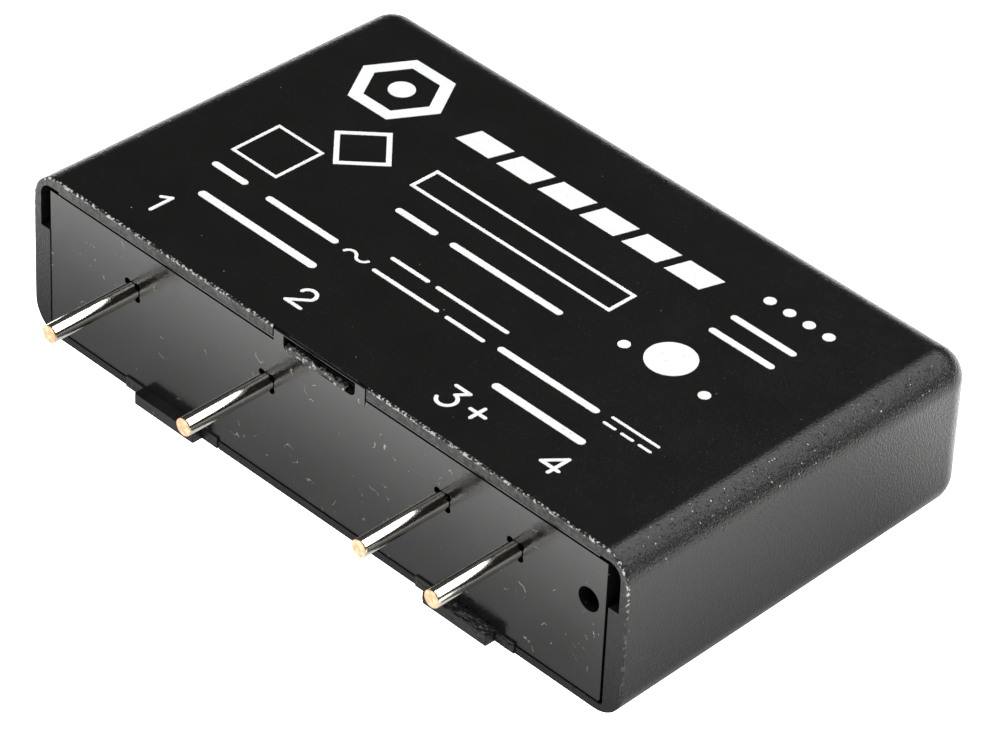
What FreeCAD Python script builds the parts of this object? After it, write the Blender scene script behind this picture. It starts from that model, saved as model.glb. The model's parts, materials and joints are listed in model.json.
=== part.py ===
import FreeCAD, Part
import math
import os

# Solid state relay with one row of four pins, for a printed-circuit board. Sizes are in millimetres.
# The relay lies on its blank back wall. X runs along the row of pins, Y from the pin face to the top
# of the case, Z from the back wall to the printed front wall. The mouth of the case is at y = 0 while
# the pieces are made, and save_node moves them to the middle of the whole part.

Vector = FreeCAD.Vector

# case: outer size, and how far each wall leans in between the mouth and the top
case_length = 43.18
case_height = 25.4
case_thickness = 10.16
case_draft = 0.33
case_round = 1.8
end_wall = 0.54
front_wall = 0.61
back_wall = 0.50
top_wall = 0.75
rail_top = 6.75         # the ends are thicker below this height, which leaves open corner slots above
rail_wall = 1.23
upper_inside_round = 0.80
lower_inside_round = 0.20

# terminal base
base_gap = 0.13
base_shift = -0.10      # the base sits a little to the left in the mouth
base_recess = 0.05
base_thick = 1.55
base_low = 0.58
base_high = 9.26
tongue_half = 3.30
tongue_high = 10.03
tongue_thick = 0.17
pocket_half = 2.60
pocket_low = 9.10
pocket_high = 10.00
pocket_depth = 0.45
pocket_round = 0.40
foot_inner = 8.50
foot_outer = 13.00
foot_high = 0.68
foot_reach = 0.70
foot_notch_inner = 7.30
foot_notch_outer = 14.40
foot_notch_depth = 1.20
lip_high = 9.44         # a thin lip stands in the seam between the base and the front wall
lip_thick = 0.08
lug_proud = 0.06        # how far the lugs beside the feet stand out of the mouth
lug_clear = 0.04
vent_x = 19.01
vent_radius = 0.70
detent_radius = 0.25
detent_low = 1.60
detent_high = 5.80
clip_places = (-17.40, -8.90, 2.60, 16.30)      # pairs of clips on the base hold the circuit board
clip_half = 1.00
clip_bite = 1.20
clip_thick = 0.75

# pins: on a 0.1 inch grid, of 0.040 inch wire, squared in the base and flattened over the board
pin_places = (-13.97, -3.81, 8.89, 13.97)
pin_radius = 0.51
pin_reach = 5.60
pin_inside = 5.10
pin_height = 6.40
pin_chamfer = 0.06
pin_round_end = 0.10
pin_square = 0.76
blade_half = 0.62
blade_thick = 0.66
pin_hole_radius = 0.56
collar_radius = 0.80
collar_long = 0.50
lobe_offset = 0.49
lobe_radius = 0.25
lobe_depth = 0.90

# circuit board and its copper
board_thick = 0.80
copper_thick = 0.07
solder_gap = 0.05
pad_top = pin_height - pin_radius - solder_gap
board_top = pad_top - copper_thick
board_bottom = board_top - board_thick
copper_bottom = board_bottom - copper_thick
board_half = 19.90
board_front = 2.50
board_back = 23.60
cutout_x = -3.30        # the power device stands where this corner of the board is cut away
cutout_y = 12.20

# heat path
spreader_half = 19.50
spreader_low = 1.05
spreader_high = 2.35
spreader_front = 2.20
spreader_back = 23.40

# power device, lying on the heat spreader with its leads towards the board
triac_y = 17.50
triac_body_left = -13.00
triac_body_right = -3.90
triac_tab_left = -19.10
triac_width = 10.00
triac_height = 4.40
tab_thick = 1.30
tab_hole_x = -16.20
rivet_radius = 1.70
rivet_head_radius = 2.90
lead_pitch = 2.54
lead_thick = 0.50
lead_width = 0.80

# optocoupler, transistors and diode: middle, size, and height above the back wall
opto_x = 4.60
opto_y = 16.50
opto_width = 6.40
opto_long = 8.80
opto_low = 5.99
opto_high = 8.95
opto_shoulder = 7.60
opto_lead_wide = 1.20
opto_lead_thick = 0.25
transistor_x = 13.00
transistor_y_1 = 14.20
transistor_y_2 = 19.40
transistor_half_x = 0.65
transistor_half_y = 1.45
transistor_low = 5.93
transistor_high = 6.90
transistor_shoulder = 6.45
transistor_lead_wide = 0.42
transistor_lead_thick = 0.14
diode_x = 13.80
diode_y = 8.60
diode_long = 4.20
diode_wide = 2.60
diode_low = 6.05
diode_high = 8.05
diode_lead_half = 0.75
diode_lead_thick = 0.20
diode_shoulder = 7.10

# chip components: middle, length along the terminals, width, height, length of a cap, turned to Y
chips = {
    "snubber_capacitor": (-8.60, 9.20, 5.70, 5.00, 2.40, 0.60, False),
    "snubber_resistor": (-15.60, 9.20, 6.40, 3.10, 0.60, 0.60, False),
    "trigger_resistor": (0.20, 8.40, 3.20, 1.60, 0.60, 0.45, False),
    "gate_resistor": (0.60, 22.40, 2.00, 1.25, 0.50, 0.35, False),
    "input_resistor": (8.90, 9.45, 3.20, 1.60, 0.60, 0.45, True),
    "sense_resistor": (17.40, 13.85, 3.20, 1.60, 0.60, 0.45, True),
    "bias_resistor": (17.40, 19.65, 3.20, 1.60, 0.60, 0.45, True),
}

# printed marks
ink_thick = 0.03
numeral_pen = 0.22
rule_thick = 0.42
small_rule_thick = 0.26
header_rule_thick = 0.50

mouth_y = -(case_height - pin_reach) / 2
half_length = case_length / 2


def block(x0, x1, y0, y1, z0, z1):
    return Part.makeBox(x1 - x0, y1 - y0, z1 - z0, Vector(x0, y0, z0))


def rod_y(x, z, radius, y0, y1):
    return Part.makeCylinder(radius, y1 - y0, Vector(x, y0, z), Vector(0, 1, 0))


def rod_z(x, y, radius, z0, z1):
    return Part.makeCylinder(radius, z1 - z0, Vector(x, y, z0), Vector(0, 0, 1))


def fuse(shapes):
    whole = shapes[0]
    if len(shapes) > 1:
        whole = whole.multiFuse(list(shapes[1:]))
    return whole.removeSplitter()


def top_edges(shape):
    high = shape.BoundBox.ZMax - 1e-6
    return [edge for edge in shape.Edges if all(spot.Z > high for spot in edge.Vertexes)]


def tapered(half0, half1, y0, y1, low0, low1, high0, high1):
    # a block whose section changes from y0 to y1
    return Part.makeWedge(-half0, y0, low0, low1, -half1, half0, y1, high0, high1, half1)


def save_node(name, shape):
    placed = shape.copy()
    placed.translate(Vector(0, mouth_y, 0))
    placed.exportStep("parts/" + name + ".step")
    print("%-24s solids %3d  volume %9.3f  valid %s" % (
        name, len(placed.Solids), placed.Volume, placed.isValid()))


# case and base

def case_outside():
    body = tapered(half_length, half_length - case_draft, 0, case_height,
                   0, case_draft, case_thickness, case_thickness - case_draft)
    rounded = []
    for edge in body.Edges:
        in_mouth = all(abs(vertex.Y) < 1e-6 for vertex in edge.Vertexes)
        if not in_mouth:
            rounded.append(edge)
    return body.makeFillet(case_round, rounded)


def lean(y):
    # how far a wall has leaned in at this distance from the mouth
    return case_draft * y / case_height


def cavity(wall, low, high):
    # the hollow between two heights, from in front of the mouth to the top wall
    front = -1.0
    back = case_height - top_wall
    shape = tapered(half_length - wall - lean(front), half_length - wall - lean(back), front, back,
                    low + lean(front), low + lean(back), high - lean(front), high - lean(back))
    return shape


def round_inside(hollow, radius, at_top):
    # rounds the far rim of a cavity and its long edges on the front or back wall
    box = hollow.BoundBox
    middle = (box.ZMin + box.ZMax) / 2
    edges = []
    for edge in hollow.Edges:
        spots = edge.Vertexes
        near_wall = all((spot.Z > middle) == at_top for spot in spots)
        along_y = abs(spots[0].Y - spots[-1].Y) > 1
        far = all(spot.Y > box.YMax - 1e-6 for spot in spots)
        upright = abs(spots[0].Z - spots[-1].Z) > 1
        if (near_wall and (along_y or far)) or (far and upright):
            edges.append(edge)
    return hollow.makeFillet(radius, edges)


def lower_cavity():
    return round_inside(cavity(rail_wall, back_wall, rail_top + 1.0), lower_inside_round, False)


def upper_cavity():
    hollow = cavity(end_wall, rail_top - 1.0, case_thickness - front_wall)
    hollow = round_inside(hollow, upper_inside_round, True)
    return hollow.common(block(-50, 50, -2, 50, rail_top, 50))


def gate_pocket():
    # a round-cornered slot under the edge of the front wall, where the base was gated
    shape = block(-pocket_half, pocket_half, -1, pocket_depth, pocket_low, pocket_high)
    corners = []
    for edge in shape.Edges:
        along_y = abs(edge.Vertexes[0].X - edge.Vertexes[-1].X) < 1e-6
        along_y = along_y and abs(edge.Vertexes[0].Z - edge.Vertexes[-1].Z) < 1e-6
        if along_y and abs(edge.Vertexes[0].Z - pocket_low) < 1e-6:
            corners.append(edge)
    return shape.makeFillet(pocket_round, corners)


def detents(x_left, x_right, radius):
    # long half-round snaps on the ends of the base, and the grooves for them
    place_y = base_recess + base_thick * 0.6
    return [rod_z(x, place_y, radius, detent_low, detent_high) for x in (x_left, x_right)]


def case_shell():
    shell = case_outside().cut(lower_cavity()).cut(upper_cavity())
    cuts = [block(-tongue_half - 0.1, tongue_half + 0.1, -1, tongue_thick + 0.03, 9.3, 11), gate_pocket()]
    for side in (-1, 1):
        ends = sorted((side * foot_notch_inner, side * foot_notch_outer))
        cuts.append(block(ends[0], ends[1], -1, foot_notch_depth, -1, back_wall + 0.2))
    rail_x = half_length - rail_wall
    cuts.extend(detents(-rail_x, rail_x, detent_radius + 0.2))
    return shell.cut(Part.makeCompound(cuts))


def terminal_base():
    left = -(half_length - rail_wall) + base_gap + base_shift
    right = half_length - rail_wall - base_gap + base_shift
    back = base_recess + base_thick
    plate = block(left, right, base_recess, back, base_low, base_high)
    low_corners = [edge for edge in plate.Edges if abs(edge.Vertexes[0].Y - edge.Vertexes[-1].Y) > 1
                   and edge.Vertexes[0].Z < base_low + 1e-6]
    plate = plate.makeFillet(lower_inside_round, low_corners)
    step = block(left + 0.6, right - 0.6, base_recess + 0.45, back, base_high - 0.1, lip_high)
    lip = block(left + 0.6, right - 0.6, base_recess + 0.03, base_recess + 0.5,
                lip_high - lip_thick, lip_high)
    tongue = block(-tongue_half, tongue_half, 0, tongue_thick, base_high - 0.3, tongue_high)
    solids = [plate, step, lip, tongue]
    for side in (-1, 1):
        foot = sorted((side * foot_inner, side * foot_outer))
        lug = sorted((side * (foot_notch_inner + lug_clear), side * (foot_notch_outer - lug_clear)))
        solids.append(block(foot[0], foot[1], -foot_reach, foot_notch_depth - 0.1, 0, foot_high))
        solids.append(block(lug[0], lug[1], -lug_proud, foot_notch_depth - 0.1, 0.02, base_low + 0.1))
    solids.extend(detents(left + 0.02, right - 0.02, detent_radius))
    for x in clip_places:
        for low in (board_bottom - clip_thick, board_top):
            solids.append(block(x - clip_half, x + clip_half, back - 0.1, board_front + clip_bite,
                                low, low + clip_thick))
    base = fuse(solids)
    cuts = [gate_pocket(), rod_y(vent_x, pin_height, vent_radius, -1, back + 1)]
    for x in pin_places:
        cuts.append(rod_y(x, pin_height, pin_hole_radius, -1, back + 1))
        for turn in range(4):
            angle = math.radians(45 + 90 * turn)
            lobe_x = x + lobe_offset * math.cos(angle)
            lobe_z = pin_height + lobe_offset * math.sin(angle)
            cuts.append(rod_y(lobe_x, lobe_z, lobe_radius, -1, lobe_depth))
    for cut in cuts:
        base = base.cut(cut)
    return base


def blade(x):
    # the flattened inner end of a pin, lying over its pad
    low = pin_height - pin_radius
    return block(x - blade_half, x + blade_half, base_recess + base_thick + collar_long, pin_inside,
                 low, low + blade_thick)


def pin(x):
    wire = rod_y(x, pin_height, pin_radius, -pin_reach, pin_round_end)
    tip_edges = [edge for edge in wire.Edges if all(spot.Y < 0 for spot in edge.Vertexes)]
    wire = wire.makeChamfer(pin_chamfer, tip_edges)
    half = pin_square / 2
    collar_y = base_recess + base_thick
    shank = block(x - half, x + half, pin_round_end, collar_y, pin_height - half, pin_height + half)
    collar = rod_y(x, pin_height, collar_radius, collar_y, collar_y + collar_long)
    return fuse([wire, shank, collar, blade(x)])


# circuit board

def circuit_board():
    board = block(-board_half, board_half, board_front, board_back, board_bottom, board_top)
    return board.cut(block(-board_half - 1, cutout_x, cutout_y, board_back + 1, 0, 9))


def on_top(x0, x1, y0, y1):
    return block(x0, x1, y0, y1, board_top, pad_top)


def under(x0, x1, y0, y1):
    return block(x0, x1, y0, y1, copper_bottom, board_bottom)


def top_copper():
    # each net is one flat piece of copper: its pads and the tracks between them
    out_a = [on_top(-15.3, -12.6, 2.8, 5.8), on_top(-19.2, -15.3, 4.4, 5.6),
             on_top(-19.2, -17.9, 4.4, 7.7), on_top(-19.2, -17.7, 7.7, 10.8)]
    snubber = [on_top(-13.5, -10.5, 7.4, 11.0)]
    out_b = [on_top(-5.1, -2.5, 2.8, 5.8), on_top(-6.6, -5.1, 4.4, 5.6), on_top(-6.6, -5.4, 4.4, 7.0),
             on_top(-6.6, -5.2, 7.0, 11.4), on_top(-2.5, -0.9, 4.4, 5.4), on_top(-1.9, -0.9, 4.4, 7.5),
             on_top(-1.9, -0.7, 7.5, 9.3)]
    trigger = [on_top(1.1, 2.3, 7.5, 9.3), on_top(1.1, 1.9, 9.3, 11.4), on_top(-0.4, 1.9, 10.7, 11.4),
               on_top(-0.4, 0.4, 10.7, 13.2), on_top(-0.7, 1.1, 13.2, 14.7)]
    middle = [on_top(-0.7, 1.1, 15.8, 17.2)]
    gate = [on_top(-0.7, 1.1, 18.3, 19.8), on_top(-0.7, 0.0, 19.8, 21.7), on_top(-0.9, 0.1, 21.7, 23.1)]
    gate_end = [on_top(1.1, 2.1, 21.7, 23.1), on_top(2.1, 4.6, 22.1, 22.7)]
    plus = [on_top(7.6, 10.2, 2.8, 5.8), on_top(8.4, 9.4, 5.8, 7.4), on_top(7.9, 9.9, 7.4, 8.7),
            on_top(9.9, 11.0, 7.7, 8.5), on_top(11.0, 12.4, 7.2, 10.0)]
    led_in = [on_top(7.9, 9.9, 10.2, 11.5), on_top(8.4, 9.4, 11.5, 13.2), on_top(8.1, 9.9, 13.2, 14.7)]
    led_out = [on_top(8.1, 9.9, 15.8, 17.2), on_top(9.9, 11.2, 16.2, 16.8), on_top(10.5, 11.2, 13.6, 16.8),
               on_top(10.5, 12.0, 12.9, 13.6)]
    spare = [on_top(8.1, 9.9, 18.3, 19.8)]
    minus = [on_top(12.7, 15.2, 2.8, 5.8), on_top(15.2, 16.6, 4.4, 5.4), on_top(15.6, 16.6, 4.4, 7.2),
             on_top(15.2, 16.6, 7.2, 10.0), on_top(16.6, 17.9, 9.2, 10.0), on_top(16.9, 17.9, 9.2, 11.8),
             on_top(16.4, 18.4, 11.8, 13.1)]
    bias = [on_top(16.4, 18.4, 14.6, 15.9), on_top(16.9, 17.9, 15.9, 17.6), on_top(16.4, 18.4, 17.6, 18.9)]
    drain = [on_top(16.4, 18.4, 20.4, 21.7)]
    nets = [out_a, snubber, out_b, trigger, middle, gate, gate_end, plus, led_in, led_out, spare, minus,
            bias, drain]
    for centre_y in (transistor_y_1, transistor_y_2):
        nets.append([on_top(11.2, 12.3, centre_y + 0.55, centre_y + 1.35)])
        nets.append([on_top(13.7, 14.8, centre_y - 0.4, centre_y + 0.4)])
    nets.append([on_top(11.2, 12.3, transistor_y_2 - 1.35, transistor_y_2 - 0.55)])
    return Part.makeCompound([fuse(net) for net in nets])


def lead_rows():
    return [triac_y + lead_pitch * step for step in (-1, 0, 1)]


def bottom_copper():
    rows = lead_rows()
    first = [under(-2.9, 1.6, rows[0] - 0.9, rows[0] + 0.9), under(-2.9, -1.4, 4.0, rows[0]),
             under(-5.0, -1.4, 4.0, 5.6)]
    second = [under(-2.9, 4.4, rows[1] - 0.9, rows[1] + 0.9), under(2.9, 4.4, 6.2, rows[1]),
              under(-12.6, 4.4, 6.2, 7.7), under(-14.9, -12.6, 4.0, 7.7)]
    third = [under(-2.9, 1.6, rows[2] - 0.9, rows[2] + 0.9), under(0.8, 1.6, rows[2], 22.8)]
    return Part.makeCompound([fuse(net) for net in (first, second, third)])


def fillet_strip(y0, y1, profile):
    # a strip along Y with a closed outline of (x, z) points
    points = [Vector(x, y0, z) for x, z in profile]
    outline = Part.makePolygon(points + [points[0]])
    return Part.Face(outline).extrude(Vector(0, y1 - y0, 0))


def pin_solder():
    joints = []
    for x in pin_places:
        profile = [(x - 1.15, pad_top), (x + 1.15, pad_top), (x + 0.70, pad_top + 0.55),
                   (x - 0.70, pad_top + 0.55)]
        strip = fillet_strip(board_front + 0.5, pin_inside - 0.1, profile)
        joints.append(strip.cut(blade(x)))
    return Part.makeCompound(joints)


def lead_solder():
    joints = []
    low = copper_bottom - lead_thick * 0.8
    for y in lead_rows():
        for side in (-1, 1):
            wall = y + side * lead_width / 2
            outline = [Vector(-2.7, wall, copper_bottom), Vector(-2.7, wall + side * 0.42, copper_bottom),
                       Vector(-2.7, wall, low)]
            face = Part.Face(Part.makePolygon(outline + [outline[0]]))
            joints.append(face.extrude(Vector(3.6, 0, 0)))
    return Part.makeCompound(joints)


# power device and its cooling

def rivet_shank(radius, flare):
    shank = rod_z(tab_hole_x, triac_y, radius, spreader_low, spreader_high + tab_thick)
    sink = Part.makeCone(radius + flare, radius, 0.5, Vector(tab_hole_x, triac_y, spreader_low))
    return fuse([shank, sink])


def heat_spreader():
    plate = block(-spreader_half, spreader_half, spreader_front, spreader_back, spreader_low, spreader_high)
    upright = [edge for edge in plate.Edges if abs(edge.Vertexes[0].Z - edge.Vertexes[-1].Z) > 1]
    plate = plate.makeFillet(0.8, upright)
    return plate.cut(rivet_shank(rivet_radius + 0.05, 0.9))


def gap_filler_pad():
    blank = block(-18.2, 18.2, spreader_front + 0.8, spreader_back - 0.6, 0.2, spreader_low)
    return blank.common(lower_cavity())


def triac_tab():
    half = triac_width / 2 - 0.1
    tab = block(triac_tab_left, triac_body_right - 1.0, triac_y - half, triac_y + half,
                spreader_high, spreader_high + tab_thick)
    corners = [edge for edge in tab.Edges if abs(edge.Vertexes[0].X - triac_tab_left) < 1e-6
               and abs(edge.Vertexes[0].Z - edge.Vertexes[-1].Z) > 1]
    tab = tab.makeChamfer(0.7, corners)
    return tab.cut(rod_z(tab_hole_x, triac_y, rivet_radius + 0.1, 0, 9))


def triac_leads():
    leads = []
    for y in lead_rows():
        lead = block(triac_body_right - 1.2, 1.3, y - lead_width / 2, y + lead_width / 2,
                     copper_bottom - lead_thick, copper_bottom)
        shoulder = block(triac_body_right, triac_body_right + 0.5, y - 0.6, y + 0.6,
                         copper_bottom - lead_thick, copper_bottom)
        leads.append(fuse([lead, shoulder]))
    return Part.makeCompound(leads)


def triac_body():
    half = triac_width / 2
    body = block(triac_body_left, triac_body_right, triac_y - half, triac_y + half,
                 spreader_high, spreader_high + triac_height)
    body = body.makeChamfer(0.35, top_edges(body))
    dimple = rod_z(triac_body_left + 1.6, triac_y + half - 1.6, 0.6,
                   spreader_high + triac_height - 0.1, 9)
    return body.cut(triac_tab()).cut(triac_leads()).cut(dimple)


def triac_rivet():
    base = spreader_high + tab_thick
    head = Part.makeSphere(rivet_head_radius * 1.35, Vector(tab_hole_x, triac_y, base - 3.0))
    head = head.common(rod_z(tab_hole_x, triac_y, rivet_head_radius, base, base + 3))
    return fuse([rivet_shank(rivet_radius, 0.85), head])


# small components


def chip_span(name, start, end):
    # a slice of the component between two places along its length
    x, y, long, wide, high, cap, turned = chips[name]
    if turned:
        return block(x - wide / 2, x + wide / 2, y + start, y + end, pad_top, pad_top + high)
    return block(x + start, x + end, y - wide / 2, y + wide / 2, pad_top, pad_top + high)


def chip_body(name):
    reach = chips[name][2] / 2 - chips[name][5]
    return chip_span(name, -reach, reach)


def end_caps():
    caps = []
    for name in chips:
        half = chips[name][2] / 2
        cap = chips[name][5]
        caps.append(chip_span(name, -half, -half + cap))
        caps.append(chip_span(name, half - cap, half))
    return Part.makeCompound(caps)


def gull_lead(side_x, outward, y, width, thick, shoulder_z, stand, foot):
    # a lead from inside a body's side, out over its shoulder, down, and out again along the pad
    inner = side_x - outward * thick * 1.2
    leg = side_x + outward * stand
    toe = leg + outward * foot
    shoulder = sorted((inner, leg))
    upright = sorted((leg - outward * thick, leg))
    sole = sorted((leg - outward * thick, toe))
    pieces = [block(shoulder[0], shoulder[1], y - width / 2, y + width / 2, shoulder_z - thick, shoulder_z),
              block(upright[0], upright[1], y - width / 2, y + width / 2, pad_top, shoulder_z),
              block(sole[0], sole[1], y - width / 2, y + width / 2, pad_top, pad_top + thick)]
    return fuse(pieces)


def optocoupler_leads():
    leads = []
    for side in (-1, 1):
        for step in (-1, 0, 1):
            leads.append(gull_lead(opto_x + side * opto_width / 2, side, opto_y + lead_pitch * step,
                                   opto_lead_wide, opto_lead_thick, opto_shoulder, 0.55, 0.90))
    return Part.makeCompound(leads)


def optocoupler_body():
    half_x = opto_width / 2
    half_y = opto_long / 2
    body = block(opto_x - half_x, opto_x + half_x, opto_y - half_y, opto_y + half_y, opto_low, opto_high)
    body = body.makeChamfer(0.25, top_edges(body))
    notch = rod_z(opto_x, opto_y - half_y, 0.8, opto_high - 0.5, opto_high + 1)
    return body.cut(notch).cut(optocoupler_leads())


def transistor_leads_at(y):
    leads = []
    for side, shift in ((-1, -0.95), (-1, 0.95), (1, 0)):
        leads.append(gull_lead(transistor_x + side * transistor_half_x, side, y + shift, transistor_lead_wide,
                               transistor_lead_thick, transistor_shoulder, 0.30, 0.35))
    return leads


def regulator_transistor(y):
    body = block(transistor_x - transistor_half_x, transistor_x + transistor_half_x,
                 y - transistor_half_y, y + transistor_half_y, transistor_low, transistor_high)
    body = body.makeChamfer(0.12, top_edges(body))
    return body.cut(Part.makeCompound(transistor_leads_at(y)))


def transistor_leads():
    return Part.makeCompound(transistor_leads_at(transistor_y_1) + transistor_leads_at(transistor_y_2))


def diode_leads():
    leads = []
    for side in (-1, 1):
        end = diode_x + side * diode_long / 2
        outer = end + side * diode_lead_thick
        heights = ((0.4, diode_shoulder - diode_lead_thick, diode_shoulder), (0.0, pad_top, diode_shoulder),
                   (1.0, pad_top, pad_top + diode_lead_thick - 0.05))
        pieces = []
        for inward, low, high in heights:
            span = sorted((end - side * inward, outer))
            pieces.append(block(span[0], span[1], diode_y - diode_lead_half, diode_y + diode_lead_half,
                                low, high))
        leads.append(fuse(pieces))
    return Part.makeCompound(leads)


def reverse_diode():
    body = block(diode_x - diode_long / 2, diode_x + diode_long / 2,
                 diode_y - diode_wide / 2, diode_y + diode_wide / 2, diode_low, diode_high)
    body = body.makeChamfer(0.2, top_edges(body))
    return body.cut(diode_leads())


# print on the front wall

def ink_face(wires):
    outline = Part.Face(wires[0])
    for hole in wires[1:]:
        outline = outline.cut(Part.Face(hole))
    return outline


def polygon(points):
    places = [Vector(x, y, 0) for x, y in points]
    return Part.makePolygon(places + [places[0]])


def bar(x0, x1, y0, y1, slant=0.0):
    return Part.Face(polygon([(x0, y0), (x1, y0), (x1 + slant, y1), (x0 + slant, y1)]))


def ring(x, y, radius, width, sides, turn):
    outlines = []
    for reach in (radius, radius - width):
        corners = [math.radians(turn + 360.0 * step / sides) for step in range(sides)]
        outlines.append(polygon([(x + reach * math.cos(a), y + reach * math.sin(a)) for a in corners]))
    return ink_face(outlines)


def disc(x, y, radius):
    return Part.Face(Part.Wire(Part.makeCircle(radius, Vector(x, y, 0))))


def straight(x0, y0, x1, y1):
    return Part.makeLine(Vector(x0, y0, 0), Vector(x1, y1, 0))


def arc(x0, y0, x1, y1, x2, y2):
    return Part.Arc(Vector(x0, y0, 0), Vector(x1, y1, 0), Vector(x2, y2, 0)).toShape()


def rule(x0, x1, y, thick):
    # a straight line with round ends
    half = thick / 2
    edges = [straight(x0 + half, y - half, x1 - half, y - half),
             arc(x1 - half, y - half, x1, y, x1 - half, y + half),
             straight(x1 - half, y + half, x0 + half, y + half),
             arc(x0 + half, y + half, x0, y, x0 + half, y - half)]
    return Part.Face(Part.Wire(edges))


def upright_rule(x, y0, y1, thick):
    mark = rule(y0, y1, -x, thick)
    mark.rotate(Vector(0, 0, 0), Vector(0, 0, 1), 90)
    return mark


def stroke(edges, width):
    # an open line of edges drawn with a round-ended pen
    line = Part.Wire(edges)
    return Part.Face(line.makeOffset2D(width / 2, 0, False, False, False))


def numeral_one(x, y):
    flag = straight(x - 0.36, y + 1.16, x + 0.12, y + 1.5)
    return stroke([flag, straight(x + 0.12, y + 1.5, x + 0.12, y)], numeral_pen)


def numeral_two(x, y):
    return stroke([arc(x - 0.46, y + 1.1, x + 0.14, y + 1.49, x + 0.42, y + 0.86),
                   straight(x + 0.42, y + 0.86, x - 0.52, y), straight(x - 0.52, y, x + 0.56, y)], numeral_pen)


def numeral_three(x, y):
    return stroke([straight(x - 0.5, y + 1.5, x + 0.48, y + 1.5),
                   straight(x + 0.48, y + 1.5, x + 0.02, y + 0.92),
                   arc(x + 0.02, y + 0.92, x + 0.5, y + 0.3, x - 0.52, y + 0.16)], numeral_pen)


def numeral_four(x, y):
    upright = upright_rule(x + 0.3, y - 0.08, y + 1.58, numeral_pen)
    corner = stroke([straight(x + 0.3, y + 1.5, x - 0.58, y + 0.44),
                     straight(x - 0.58, y + 0.44, x + 0.6, y + 0.44)], numeral_pen)
    return fuse([upright, corner])


def plus_sign(x, y):
    return fuse([rule(x - 0.62, x + 0.62, y, numeral_pen), upright_rule(x, y - 0.62, y + 0.62, numeral_pen)])


def wave_sign(x, y):
    return stroke([arc(x - 0.75, y - 0.12, x - 0.38, y + 0.2, x, y),
                   arc(x, y, x + 0.38, y - 0.2, x + 0.75, y + 0.12)], numeral_pen * 0.8)


def direct_current_sign(x, y):
    marks = [rule(x, x + 3.3, y + 0.3, numeral_pen * 0.8)]
    for step in range(3):
        start = x + 1.2 * step
        marks.append(rule(start, start + 0.9, y - 0.3, numeral_pen * 0.8))
    return marks


def printed_faces():
    # every mark is a plain figure: a hexagon, slanted blocks, squares, dots and rules
    faces = [ring(-14.27, 19.31, 2.95, 0.85, 6, 0), disc(-14.27, 19.31, 0.75)]
    for step in range(6):
        start = -9.2 + 3.04 * step
        faces.append(bar(start, start + 2.45, 18.35, 19.85, 0.45))
    for step in range(4):
        faces.append(disc(11.5 + 1.35 * step, 20.4, 0.34))
    for y in (18.0, 16.4):
        faces.append(rule(11.1, 15.5, y, rule_thick))
    faces.append(ring(-11.65, 14.0, 2.15, 0.42, 4, 0))
    faces.append(ink_face([polygon([(-7.7, 13.55), (6.8, 13.55), (6.8, 15.6), (-7.7, 15.6)]),
                           polygon([(-7.48, 13.77), (6.58, 13.77), (6.58, 15.38), (-7.48, 15.38)])]))
    faces.append(disc(11.6, 13.1, 1.4))
    for x in (9.2, 14.75):
        faces.append(disc(x, 12.2, 0.34))
    faces.append(ring(-14.35, 10.45, 2.45, 0.28, 4, 45))
    for x0, x1 in ((-6.6, -3.6), (-2.6, 5.4)):
        faces.append(rule(x0, x1, 11.6, rule_thick))
    for y, spans in ((8.45, ((-3.7, -0.9), (-0.4, 4.8))), (7.05, ((-3.6, 1.2), (1.7, 4.5)))):
        for x0, x1 in spans:
            faces.append(rule(x0, x1, y, small_rule_thick))
    # rating rows with the signs for alternating and direct current, and a rule over each pair of pins
    for x0, x1 in ((-15.8, -13.2), (-11.7, -6.4), (5.3, 12.3)):
        faces.append(rule(x0, x1, 7.25, rule_thick))
    faces.append(wave_sign(-4.95, 7.2))
    faces.extend(direct_current_sign(12.95, 7.2))
    for x0, x1 in ((-14.3, -5.6), (7.26, 13.6)):
        faces.append(rule(x0, x1, 4.95, header_rule_thick))
    # terminal numbers
    faces.extend([numeral_one(-14.9, 2.0), numeral_two(-4.1, 2.0), numeral_three(6.65, 2.0),
                  plus_sign(8.45, 2.72), numeral_four(13.7, 2.0)])
    return faces


def printed_marks():
    # flat outlines, tipped into the leaning front wall and given the thickness of the ink
    tip = math.degrees(math.atan2(-case_draft, case_height))
    marks = []
    for face in printed_faces():
        mark = face.extrude(Vector(0, 0, ink_thick))
        mark.rotate(Vector(0, 0, 0), Vector(1, 0, 0), tip)
        mark.translate(Vector(0, 0, case_thickness))
        marks.append(mark)
    return Part.makeCompound(marks)


# all nodes

os.makedirs("parts", exist_ok=True)

save_node("case_shell", case_shell())
save_node("terminal_base", terminal_base())
for number, place in enumerate(pin_places, 1):
    save_node("pin_%d" % number, pin(place))
save_node("circuit_board", circuit_board())
save_node("top_copper", top_copper())
save_node("bottom_copper", bottom_copper())
save_node("pin_solder", pin_solder())
save_node("lead_solder", lead_solder())
save_node("heat_spreader", heat_spreader())
save_node("gap_filler_pad", gap_filler_pad())
save_node("triac_body", triac_body())
save_node("triac_tab", triac_tab())
save_node("triac_leads", triac_leads())
save_node("triac_rivet", triac_rivet())
save_node("optocoupler_body", optocoupler_body())
save_node("optocoupler_leads", optocoupler_leads())
for chip_name in chips:
    save_node(chip_name, chip_body(chip_name))
save_node("end_caps", end_caps())
save_node("regulator_transistor_1", regulator_transistor(transistor_y_1))
save_node("regulator_transistor_2", regulator_transistor(transistor_y_2))
save_node("transistor_leads", transistor_leads())
save_node("reverse_diode", reverse_diode())
save_node("diode_leads", diode_leads())
save_node("printed_marks", printed_marks())
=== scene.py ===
import bpy
import json
import math
from mathutils import Matrix, Vector, noise


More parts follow.
